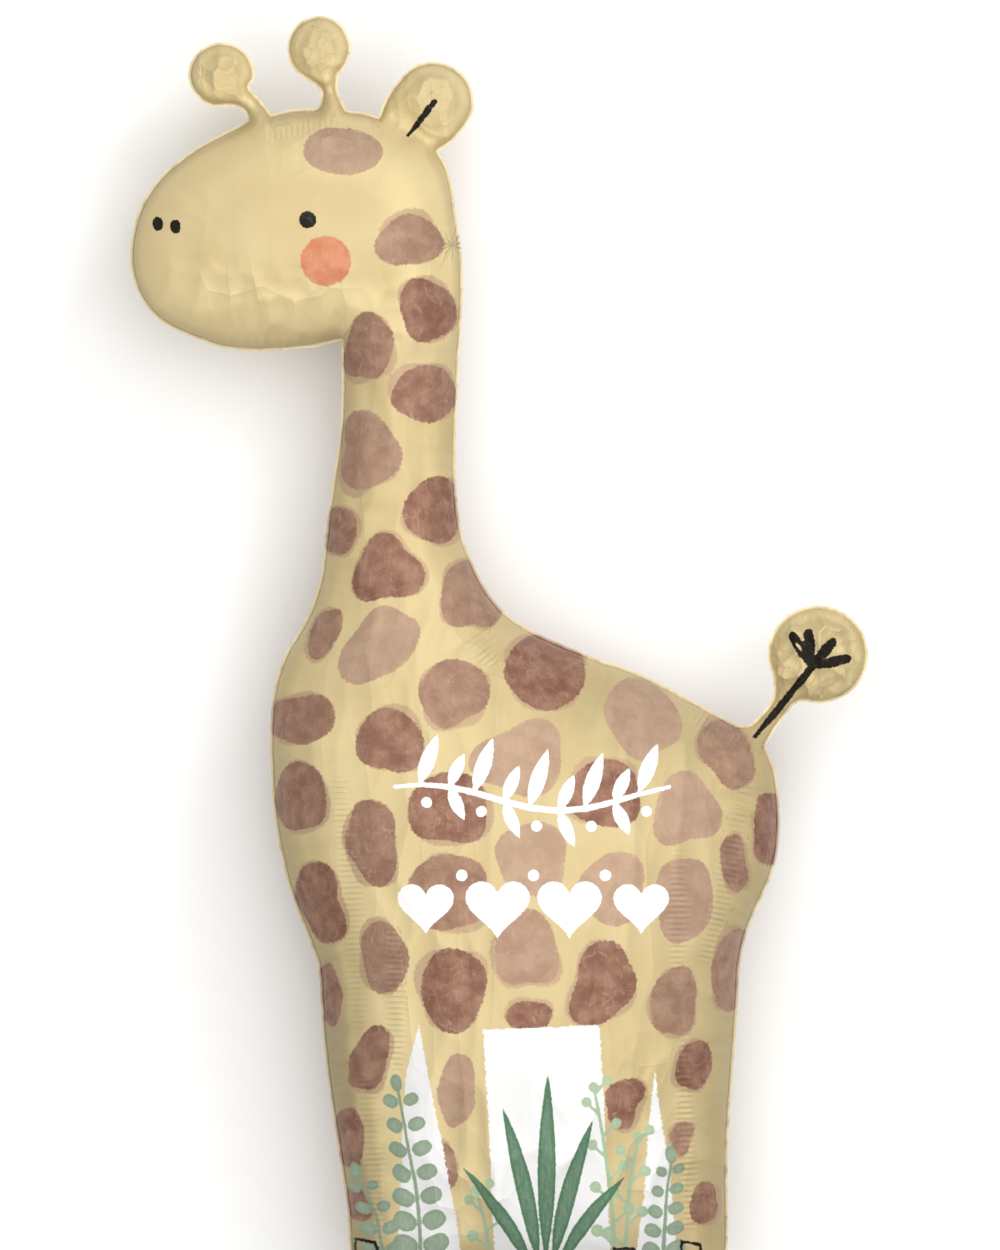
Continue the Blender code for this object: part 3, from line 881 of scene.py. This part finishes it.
class Film:
    """One sheet's mesh in plan, its swelling and everything printed on it."""

    def __init__(self, sizes):
        self.outline = Outline(sizes.neck_width, sizes.neck_length)
        self.sizes = sizes
        outline, weld_depth = self.outline, sizes.seam_width
        weld = outline.row(weld_depth, 1, 0.5 * EDGE_STEP)
        parts = [outline.points, weld, outline.row(weld_depth / 2, 2, EDGE_STEP)]
        parts += [outline.row(weld_depth + depth * MM, 1, 0.6 * EDGE_STEP) for depth in ROWS]
        placed = near_tree(np.concatenate(parts))
        clear = CLEAR_SHARE * FIELD_STEP
        parts.append(self.grid(FIELD_STEP, lambda p: near_distance(placed, p) > clear))
        parts.append(self.grid(PRINT_STEP, self.near_fine_print))
        points = np.concatenate(parts)
        rim, inner = len(outline.points), len(weld)
        loops = [(i, (i + 1) % rim) for i in range(rim)]
        loops += [(rim + i, rim + (i + 1) % inner) for i in range(inner)]
        found = geometry.delaunay_2d_cdt([tuple(p) for p in points], loops, [], 1, 1e-7)
        self.points = np.array([tuple(p) for p in found[0]])
        self.triangles = np.array(found[2])
        self.depth, self.along, self.inward = outline.nearest(self.points)
        self.middle = (outline.points.min(0) + outline.points.max(0)) / 2
        self.drawn = self.points / DRAWN
        self.swell()

    def grid(self, step, wanted):
        """Points of an even triangular grid inside the outline, where wanted."""
        low, high = self.outline.fine.min(0), self.outline.fine.max(0)
        rise = step * math.sqrt(0.75)
        rows = np.arange(low[1], high[1], rise)
        columns = np.arange(low[0], high[0], step)
        x, y = np.meshgrid(columns, rows)
        x = x + 0.5 * step * (np.arange(len(rows)) % 2)[:, None]
        points = np.column_stack([x.ravel(), y.ravel()])
        points = points[inside_loop(points, self.outline.fine)]
        return points[wanted(points)]

    def near_fine_print(self, points):
        """Which points lie close to the edge of a small printed shape, clear of the weld."""
        drawn = points / DRAWN
        near = np.zeros(len(points), bool)
        for edge in (face_ink, hoof_ink, white_motif, between_legs, lambda p: union(*greenery(p))):
            near |= np.abs(edge(drawn)) * DRAWN < PRINT_REACH
        for origin, reach in BALLS + tuple((fan[0], 24) for fan in FANS[:5]):
            near |= disc_edge(drawn, origin, reach) > 0
        chosen = np.flatnonzero(near)
        clear = self.outline.nearest(points[chosen])[0] > self.sizes.seam_width + 1.2 * MM
        near[chosen[~clear]] = False
        return near

    def swell(self):
        """Find the sheet's height over the seam, flat at the weld and in the filling neck."""
        seam = self.sizes.seam_width
        aside, down = (self.outline.neck_root - self.points).T
        in_neck = (np.abs(aside) < self.sizes.neck_width / 2 + seam) & (down > -seam)
        self.free = (self.depth > 1.02 * seam) & ~in_neck
        crease = smooth(metres(EAR_CREASE))[::3]
        near = np.min([np.linalg.norm(self.points - p, axis=1) for p in crease], axis=0)
        tie = EAR_TIE / EAR_TIE_WIDTH**2 * np.exp(-((near / EAR_TIE_WIDTH) ** 2))
        fill = self.sizes.fill
        self.height = pressed_height(self.points, self.triangles, self.free, tie, fill)

    def rim_wave(self, pitch, seed, reach):
        """Irregular wave along the rim, from -1 to 1, that dies out inwards."""
        line = np.column_stack([self.along / MM, np.zeros(len(self.along))])
        return lattice_noise(line, pitch, seed) * np.exp(-((self.depth / reach) ** 2))

    def seam_height(self):
        """How far the sealed edge, which both sheets share, waves up and down."""
        away = np.linalg.norm(self.points - self.outline.neck_root, axis=1)
        wave = sum(rise * self.rim_wave(*kind) for rise, *kind in SEAM_WAVES)
        return np.clip(away / NECK_STIFF, 0, 1) * MM * wave

    def sheet(self, crease, shift=0.0):
        """Points of a sheet, swollen upwards from its seam at zero, with creases pushed out.

        A shift gives a sheet creases of its own, without the fans of folds.
        """
        draw = self.rim_wave(12, 51, 5 * MM)
        inward = self.inward * (RIM_DRAW * (draw + np.abs(draw)))[:, None]
        flat = np.column_stack([self.points - self.middle + inward, self.height])
        normals = vertex_normals(flat, self.triangles)
        relief = crease_relief(self.points + shift, self.depth, self.along)
        if not shift:
            relief += fold_fans(self.points)
        limit = np.minimum(1.0, self.height / CREASED_HEIGHT)
        return flat + normals * (relief * crease * limit * self.free)[:, None]


def film_mesh(name, points, triangles, layers):
    """A mesh object of one sheet, with its print, painted light and crease layers as attributes."""
    data = bpy.data.meshes.new(name)
    data.vertices.add(len(points))
    data.vertices.foreach_set("co", points.astype(np.float32).ravel())
    data.loops.add(3 * len(triangles))
    data.loops.foreach_set("vertex_index", triangles.astype(np.int32).ravel())
    data.polygons.add(len(triangles))
    data.polygons.foreach_set("loop_start", np.arange(0, 3 * len(triangles), 3, dtype=np.int32))
    data.update(calc_edges=True)
    data.validate()
    for layer, values in layers.items():
        stored = data.attributes.new(layer, "FLOAT", "POINT")
        stored.data.foreach_set("value", np.asarray(values, np.float32))
    data.shade_smooth()
    piece = bpy.data.objects.new(name, data)
    bpy.context.scene.collection.objects.link(piece)
    return piece


FILM = {}


def film(sizes):
    """The film's mesh in plan, made once for both sheets."""
    if "film" not in FILM:
        FILM["film"] = Film(sizes)
    if not np.isfinite(FILM["film"].height).all():
        raise RuntimeError("the film could not be swollen with these sizes")
    return FILM["film"]


# Materials


def node(tree, kind, inputs=(), out=0, **settings):
    """Add a shader node with its settings and links, and give one of its outputs.

    Inputs are listed in order or named by socket, as values or as other nodes' outputs.
    """
    made = tree.nodes.new("ShaderNode" + kind)
    for name, value in settings.items():
        setattr(made, name, value)
    for socket, value in inputs.items() if isinstance(inputs, dict) else enumerate(inputs):
        if isinstance(value, bpy.types.NodeSocket):
            tree.links.new(value, made.inputs[socket])
        else:
            made.inputs[socket].default_value = value
    return made.outputs[out]


def new_material(name):
    """A material with a bare shader linked to its output."""
    material = bpy.data.materials.new(name)
    material.use_nodes = True
    tree = material.node_tree
    tree.nodes.clear()
    surface = node(tree, "BsdfPrincipled")
    tree.links.new(surface, tree.nodes.new("ShaderNodeOutputMaterial").inputs[0])
    return material, tree, surface.node


def banded_noise(tree, place, scale, band, spread=(0.0, 1.0), detail=2.0):
    """Noise of that scale, its values in the band spread over a new range."""
    inputs = {"Vector": place, "Scale": scale, "Detail": detail, "Roughness": 0.6}
    return node(tree, "MapRange", [node(tree, "TexNoise", inputs), *band, *spread])


def brushed_mask(tree, edge, rough, softness, strength=1.0):
    """A mask from a signed distance in millimetres, its edge roughened by a brush's noise."""
    moved = node(tree, "Math", [edge, rough], operation="ADD")
    return node(tree, "MapRange", [moved, -softness, softness, 0.0, strength])


def inked(tree, ground, *coats):
    """The ground with coats of ink laid over it in order, each given with its mask."""
    under = ground if isinstance(ground, bpy.types.NodeSocket) else (*ground, 1)
    for ink, mask in coats:
        over = ink if isinstance(ink, bpy.types.NodeSocket) else (*ink, 1)
        under = node(tree, "Mix", {0: mask, 6: under, 7: over}, 2, data_type="RGBA")
    return under


def starred(tree, place, centre, folds, reach, rise, height):
    """The height with a star of crisp folds added round a centre in plan."""
    offset = node(tree, "VectorMath", [place, (*centre, 0)], operation="SUBTRACT")
    flat = node(tree, "VectorMath", [offset, (1, 1, 0)], operation="MULTIPLY")
    far = node(tree, "VectorMath", [flat], "Value", operation="LENGTH")
    x, y, _ = node(tree, "SeparateXYZ", [flat]).node.outputs
    angle = node(tree, "Math", [y, x], operation="ARCTAN2")
    uneven = node(tree, "TexNoise", {"Vector": place, "Scale": 90.0, "Detail": 0.0})
    turned = node(
        tree, "Math", [angle, folds / (2 * math.pi), uneven], operation="MULTIPLY_ADD"
    )
    wave = node(tree, "Math", [turned, 0.5], operation="PINGPONG")
    fold = node(tree, "MapRange", [wave, 0.0, 0.2, rise, 0.0])
    share = node(tree, "MapRange", [far, 0.4 * reach, reach, 1.0, 0.0])
    return node(tree, "Math", [fold, share, height], operation="MULTIPLY_ADD")


def film_normal(tree, place, layer, middle):
    """The film's normal, bumped by the creases too fine for the mesh."""
    add = partial(node, tree)

    # rungs 4.7 mm apart, up to about half a millimetre high
    turns = add("Math", [layer["rung_phase"], 2 * math.pi], operation="MULTIPLY")
    wave = add("Math", [turns], operation="SINE")
    height = add("Math", [wave, layer["rung_height"]], operation="MULTIPLY")

    # small flat facets between crisp creases, up to about a millimetre high
    bend = add("TexNoise", {"Vector": place, "Scale": 22.0, "Detail": 1.0}, "Color")
    bend = add("VectorMath", {0: bend, "Scale": 0.012}, operation="SCALE")
    bent = add("VectorMath", [place, bend], operation="ADD")
    for key, cells_per_metre, rise, ridge in BUMPED_FACETS:
        cells = {"Vector": add("Mapping", {0: bent, "Scale": cells_per_metre}), "Scale": 1.0}
        edge, flat = (
            add("TexVoronoi", cells, "Distance", feature=feature, voronoi_dimensions="2D")
            for feature in ("DISTANCE_TO_EDGE", "F1")
        )
        edge = add("MapRange", [edge, 0.0, 0.05, ridge, 0.0])
        flat = add("Math", [flat, flat], operation="MULTIPLY")
        flat = add("Math", [flat, rise, edge], operation="MULTIPLY_ADD")
        height = add("Math", [flat, layer[key], height], operation="MULTIPLY_ADD")
    for centre, folds, reach, rise in STARS:
        centre = np.array(centre) * DRAWN - middle
        height = starred(tree, place, centre, folds, reach * MM, rise, height)
    return add("Bump", {"Strength": 1.0, "Distance": MM, "Height": height})


def printed_film(name, colours, layers, middle):
    """Printed metallised polyester film.

    Polyester film 36 micrometres thick, coated with aluminium and gravure printed, so it gives a
    satin, partly metallic sheen where the ink is thin and a milky one under opaque white.
    """
    material, tree, shader = new_material(name)
    add = partial(node, tree)
    place = add("TexCoord", (), "Object")
    layer = {key: add("Attribute", (), "Fac", attribute_name=key) for key in layers}

    # brush bristles leave an edge that wanders by about a millimetre
    rough = banded_noise(tree, place, 330.0, (0.3, 0.7), (-1.0, 1.0), 3.0)
    faint = add("Math", [rough, 0.35], operation="MULTIPLY")
    ragged = add("Math", [rough, 0.6], operation="MULTIPLY")

    # wet pools about 12 mm across, dry bristle streaks about 2 mm apart and grain of about 1 mm
    pools = banded_noise(tree, place, 62.0, (0.38, 0.62), detail=5.0)
    slant = {0: place, "Rotation": (0, 0, 0.7), "Scale": (420.0, 95.0, 200.0)}
    streaks = banded_noise(tree, add("Mapping", slant), 1.0, (0.26, 0.76), detail=3.0)
    grain = banded_noise(tree, place, 900.0, (0.3, 0.7), (0.0, 0.16))

    # painted highlights: thin pale lines that stand in for glints on fine crinkles, in loops about
    # 25 mm across
    loops = {"Vector": place, "Scale": 46.0, "Detail": 1.0, "Distortion": 0.6}
    loops = add("Math", [add("TexNoise", loops), 0.5], operation="SUBTRACT")
    loops = add("Math", [loops], operation="ABSOLUTE")
    crinkle_glints = add("MapRange", [loops, 0.0, 0.012, 0.6, 0.0])
    crinkle_glints = add("Math", [crinkle_glints, streaks], operation="MULTIPLY")
    # the same painted crinkle highlights, at half strength, for the black ink
    glints_on_ink = add("Math", [crinkle_glints, 0.5], operation="MULTIPLY")

    # where the ink lies thin, and lighter still along the painted crinkle highlights
    thin = add("Math", [streaks, pools], operation="MULTIPLY")
    thin = add("Math", [pools, 0.75, thin], operation="MULTIPLY_ADD")
    thin = add("Math", [thin, 0.68, grain], operation="MULTIPLY_ADD")
    thin = add("Math", [thin, crinkle_glints], operation="ADD", use_clamp=True)

    tone = layer["spot_tone"]
    spot = inked(tree, colours.spot_light, (colours.spot_dark, tone))
    thin_spot = inked(tree, colours.spot_faint, (colours.spot_mid, tone))
    coats = [
        # soft wash in the sand ground, patches about 60 mm across
        (colours.sand_wash, banded_noise(tree, place, 16.0, (0.35, 0.65))),
        # painted light and painted shade laid in the sand ground
        (colours.sand_painted_light, layer["painted_light"]),
        (colours.sand_shade, layer["shade"]),
        (colours.spot_halo, brushed_mask(tree, layer["halo_edge"], rough, 0.8, 0.72)),
        # spots, with painted crinkle highlights in faint ink
        (
            inked(tree, spot, (thin_spot, thin), (colours.spot_faint, crinkle_glints)),
            brushed_mask(tree, layer["spot_edge"], rough, 0.5, 0.97),
        ),
    ]
    ink = brushed_mask(tree, layer["ink_edge"], ragged, 0.3, 0.98)
    metal = add("MapRange", [ink, 0.0, 1.0, 0.18, 0.0])
    if "motif_edge" in layer:
        white = brushed_mask(tree, layer["white_edge"], rough, 0.4)
        coats.append((colours.leg_white, white))
        for key in ("leaf_pale", "leaf_sage", "leaf_dark"):
            shade = getattr(colours, key)
            paler = tuple(c + 0.16 * (0.8 - c) for c in shade)
            inner = add("Math", [layer[key], 2.4], operation="SUBTRACT")
            inner = brushed_mask(tree, inner, rough, 0.8)
            inner = add("Math", [inner, streaks], operation="MULTIPLY")
            leaf = inked(tree, shade, (paler, inner))
            coats.append((leaf, brushed_mask(tree, layer[key], faint, 0.35)))
        motif = brushed_mask(tree, layer["motif_edge"], faint, 0.3)
        coats.append((colours.motif_white, motif))
        opaque = add("Math", [white, motif], operation="MAXIMUM")
        metal = add("Mix", {0: opaque, 2: metal, 3: 0.05}, data_type="FLOAT")
    cheek = inked(tree, colours.cheek, (colours.cheek_light, thin))
    coats += [
        (cheek, brushed_mask(tree, layer["cheek_edge"], rough, 0.6, 0.95)),
        # black ink, with painted crinkle highlights in grey
        (inked(tree, colours.ink, (colours.ink_glint, glints_on_ink)), ink),
        # painted highlight: paler film along the outer 2.4 mm of the weld, for light on its flat
        # flange
        (colours.margin, add("MapRange", [layer["margin"], 0.9, 2.4, 0.5, 0.0])),
    ]

    for socket, value in (
        ("Base Color", inked(tree, colours.sand, *coats)),
        ("Roughness", banded_noise(tree, place, 9.0, (0.3, 0.7), (0.46, 0.56))),
        ("Metallic", metal),
        ("Normal", film_normal(tree, place, layer, middle)),
    ):
        tree.links.new(value, shader.inputs[socket])
    shader.inputs["IOR"].default_value = 1.5
    shader.inputs["Specular IOR Level"].default_value = 0.08
    return material


# Add-on


def number(name, description, default, low, high, **kind):
    """A number for the panel, a length unless its kind is given."""
    kind = kind or {"unit": "LENGTH", "subtype": "DISTANCE"}
    return bpy.props.FloatProperty(
        name=name, description=description, default=default, min=low, max=high, **kind
    )


def colour(name, description, code):
    """A colour for the panel, given as sRGB hex."""
    return bpy.props.FloatVectorProperty(
        name=name, description=description, default=linear(code), min=0, max=1, subtype="COLOR"
    )


class BalloonSizes(bpy.types.PropertyGroup):
    """Sizes of the film, the seam and the filling neck"""

    seam_width: number("Seam width", "Width of the heat-sealed edge", 0.003, 0.001, 0.01)
    neck_width: number("Neck width", "Width of the flat filling neck", 0.022, 0.01, 0.05)
    neck_length: number("Neck length", "Length of the flat filling neck", 0.042, 0.02, 0.1)
    film_gap: number("Film gap", "Each sheet's height over the seam", 0.00025, 0.0001, 0.001)
    fill: number("Fill", "Depth against a fully round tube", 0.87, 0.3, 1, subtype="FACTOR")
    crease: number("Creases", "How strongly film is creased", 1, 0, 2, subtype="FACTOR")


class BalloonColours(bpy.types.PropertyGroup):
    """Inks of the print"""

    sand: colour("Sand", "Ground of the print", "#CAB88B")
    sand_wash: colour("Sand wash", "Deeper wash in the ground", "#C5B081")
    # painted light and painted shade: paler and deeper sand for where light falls fully or turns
    # away
    sand_painted_light: colour("Sand glow", "Paler wash round the head and legs", "#E4D09E")
    sand_shade: colour("Sand shade", "Soft shade down trunk and legs", "#A3946E")
    # painted highlight along the sealed edge, for light on its flat flange
    margin: colour("Margin", "Pale film at the sealed edge", "#EFE6CC")
    spot_dark: colour("Dark spots", "Ink of the dark spots", "#7D5446")
    spot_mid: colour("Middle spots", "Thin ink in the dark spots", "#9D7864")
    spot_light: colour("Light spots", "Ink of the light spots", "#AB8D76")
    spot_faint: colour("Faint spots", "Thin ink in the light spots", "#B89B83")
    spot_halo: colour("Spot halo", "Wet edge round the spots", "#B29579")
    cheek: colour("Cheek", "Ink of the cheek", "#BE7250")
    cheek_light: colour("Cheek, thin", "Thin ink of the cheek", "#CA8B6C")
    ink: colour("Ink", "Lines, eye and nostrils", "#0E0C0D")
    # painted highlight: grey laid on the black ink along fine crinkles
    ink_glint: colour("Dry ink", "Ink where the brush ran dry", "#7C7672")
    leg_white: colour("Leg white", "White between the legs", "#E9E8E6")
    motif_white: colour("Motif white", "White of the sprig, hearts and dots", "#F2F1EF")
    leaf_dark: colour("Dark leaves", "Ink of the pointed leaves", "#557A5C")
    leaf_sage: colour("Sage leaves", "Ink of the round-leaved twigs", "#8FA289")
    leaf_pale: colour("Pale sprigs", "Ink of the berry sprigs", "#A6BB9A")


class BalloonStage(bpy.types.PropertyGroup):
    """Floor, light and camera"""

    floor: colour("Floor", "Colour of the floor", "#FBFBFA")
    softbox_side: number("Softbox side", "Side of the softbox overhead", 4.0, 0.5, 8.0)
    softbox_watts: number("Softbox power", "Power of the softbox", 121, 0, 2000, unit="POWER")
    key_side: number("Key side", "Side of the square key light", 1.2, 0.1, 4.0)
    key_watts: number("Key power", "Power of the key light", 27, 0, 2000, unit="POWER")
    air_light: number("Air light", "Even light from the studio's walls", 0.22, 0, 2, unit="NONE")
    floor_side: number("Floor side", "Side of the square floor", 24.0, 4.0, 60.0)
    distance: number("Camera distance", "Camera's height over the seam", 20.0, 1.5, 40.0)
    frame_height: number("Frame height", "Height of the view at the seam", 1.05, 0.5, 3.0)
    sight: bpy.props.FloatVectorProperty(
        name="Sight",
        description="Where the camera looks in plan",
        default=(0.0, 0.0231),
        size=2,
        unit="LENGTH",
    )


def sheet_layers(found, front):
    """Every layer of the sheet, by name: print, painted light and shade, and crease shares."""
    drawn = found.drawn
    edge, halo, tone = spot_layers(drawn, np.random.default_rng(7))
    rung_height, rung_phase = rung_layers(found.points)
    crumple, facet, flute = crease_shares(found)
    painted_light, shade = painted_light_and_shade(found)
    layers = {
        "spot_edge": edge,
        "halo_edge": halo,
        "spot_tone": tone,
        "cheek_edge": disc_edge(drawn, (-145.8, 327.8), 21),
        "ink_edge": union(face_ink(drawn), hoof_ink(drawn)),
        # painted light and painted shade, shares from 0 to 1
        "painted_light": painted_light,
        "shade": shade,
        # depth from the edge in millimetres, for the painted highlight along the weld
        "margin": found.depth / MM,
        "crumple": crumple,
        "facet": facet,
        "flute": flute,
        "rung_height": rung_height,
        "rung_phase": rung_phase,
    }
    if front:
        dark, sage, pale = greenery(drawn)
        layers |= {
            "white_edge": between_legs(drawn),
            "motif_edge": white_motif(drawn),
            "leaf_dark": dark,
            "leaf_sage": sage,
            "leaf_pale": pale,
        }
    return layers


def finish_piece(piece, material):
    """Give the piece its material, and say what it rides on."""
    piece.data.materials.append(material)
    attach(piece, "root")


class BALLOON_OT_front_sheet(bpy.types.Operator):
    """Build the printed sheet that faces up"""

    bl_idname = "balloon.front_sheet"
    bl_label = "Front sheet"

    def execute(self, context):
        sizes, colours = context.scene.balloon_sizes, context.scene.balloon_colours
        found = film(sizes)
        points = found.sheet(sizes.crease)
        points[:, 2] += SEAM_HEIGHT + sizes.film_gap + found.seam_height()
        layers = sheet_layers(found, True)
        piece = film_mesh("front_sheet", points, found.triangles, layers)
        name = "gravure_printed_polyester_front"
        finish_piece(piece, printed_film(name, colours, layers, found.middle))
        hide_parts(CAD_NODE)
        return {"FINISHED"}


class BALLOON_OT_back_sheet(bpy.types.Operator):
    """Build the sheet that lies on the floor, flattened where it rests"""

    bl_idname = "balloon.back_sheet"
    bl_label = "Back sheet"

    def execute(self, context):
        sizes, colours = context.scene.balloon_sizes, context.scene.balloon_colours
        found = film(sizes)
        points = found.sheet(sizes.crease, BACK_SHIFT)
        low = SEAM_HEIGHT - sizes.film_gap + found.seam_height() - points[:, 2]
        under = np.minimum(low, FLOOR_BLEND) - FLOOR_BLEND
        low = np.where(low < FLOOR_BLEND, FLOOR_BLEND * np.exp(under / FLOOR_BLEND), low)
        points[:, 2] = np.maximum(low - FLOOR_DRAW, FLOOR_CLEAR)
        layers = sheet_layers(found, False)
        piece = film_mesh("back_sheet", points, found.triangles[:, ::-1], layers)
        name = "gravure_printed_polyester_back"
        finish_piece(piece, printed_film(name, colours, layers, found.middle))
        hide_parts(CAD_NODE)
        return {"FINISHED"}


class BALLOON_OT_stage(bpy.types.Operator):
    """Lay the floor, set the lights and place the camera above"""

    bl_idname = "balloon.stage"
    bl_label = "Stage"

    def execute(self, context):
        scene, stage = context.scene, context.scene.balloon_stage
        half = stage.floor_side / 2
        corners = [(-half, -half, 0), (half, -half, 0), (half, half, 0), (-half, half, 0)]
        data = bpy.data.meshes.new("floor")
        data.from_pydata(corners, [], [(0, 1, 2, 3)])
        floor = bpy.data.objects.new("floor", data)
        scene.collection.objects.link(floor)
        material, _, shader = new_material("matt_painted_board")
        shader.inputs["Base Color"].default_value = (*stage.floor, 1)
        shader.inputs["Roughness"].default_value = 0.85
        data.materials.append(material)

        for name, place, side, watts in (
            ("overhead_softbox", (0.1, 0.1, 3.0), stage.softbox_side, stage.softbox_watts),
            ("key_softbox", (1.5, 1.9, 2.3), stage.key_side, stage.key_watts),
        ):
            light = bpy.data.lights.new(name, "AREA")
            light.size, light.energy = side, watts
            lamp = bpy.data.objects.new(name, light)
            lamp.location = place
            lamp.rotation_mode = "QUATERNION"
            lamp.rotation_quaternion = Vector(place).to_track_quat("Z", "Y")
            lamp.visible_camera = False
            scene.collection.objects.link(lamp)

        world = bpy.data.worlds.new("studio_air")
        world.use_nodes = True
        air = world.node_tree.nodes["Background"]
        air.inputs["Color"].default_value = (1, 1, 1, 1)
        air.inputs["Strength"].default_value = stage.air_light
        scene.world = world
        scene.view_settings.view_transform = "Standard"

        lens = bpy.data.cameras.new("camera")
        lens.sensor_width = 36.0
        lens.lens = lens.sensor_width * stage.distance / stage.frame_height
        camera = bpy.data.objects.new("camera", lens)
        found = film(scene.balloon_sizes)
        x, y = np.array(stage.sight) - found.middle
        camera.location = (x, y, SEAM_HEIGHT + stage.distance)
        scene.collection.objects.link(camera)
        scene.camera = camera
        return {"FINISHED"}


OPERATORS = (BALLOON_OT_front_sheet, BALLOON_OT_back_sheet, BALLOON_OT_stage)
GROUPS = {
    "balloon_sizes": BalloonSizes,
    "balloon_colours": BalloonColours,
    "balloon_stage": BalloonStage,
}


class BALLOON_PT_panel(bpy.types.Panel):
    """Sidebar panel with the balloon's sizes, colours and steps"""

    bl_idname = "BALLOON_PT_panel"
    bl_label = "Foil balloon"
    bl_space_type = "VIEW_3D"
    bl_region_type = "UI"
    bl_category = "Balloon"

    def draw(self, context):
        layout = self.layout
        for name in GROUPS:
            box, group = layout.box(), getattr(context.scene, name)
            for key in group.bl_rna.properties.keys():
                if key not in ("rna_type", "name"):
                    box.prop(group, key)
        for operator in OPERATORS:
            layout.operator(operator.bl_idname)


CLASSES = (*GROUPS.values(), *OPERATORS, BALLOON_PT_panel)


def register():
    """Add the classes and the scene's settings."""
    for item in CLASSES:
        bpy.utils.register_class(item)
    for name, group in GROUPS.items():
        setattr(bpy.types.Scene, name, bpy.props.PointerProperty(type=group))


def unregister():
    """Take away what register added."""
    for name in GROUPS:
        delattr(bpy.types.Scene, name)
    for item in reversed(CLASSES):
        bpy.utils.unregister_class(item)


def main():
    """Build the balloon and its stage."""
    register()
    bpy.ops.balloon.front_sheet()
    bpy.ops.balloon.back_sheet()
    bpy.ops.balloon.stage()


if __name__ == "__main__":
    main()
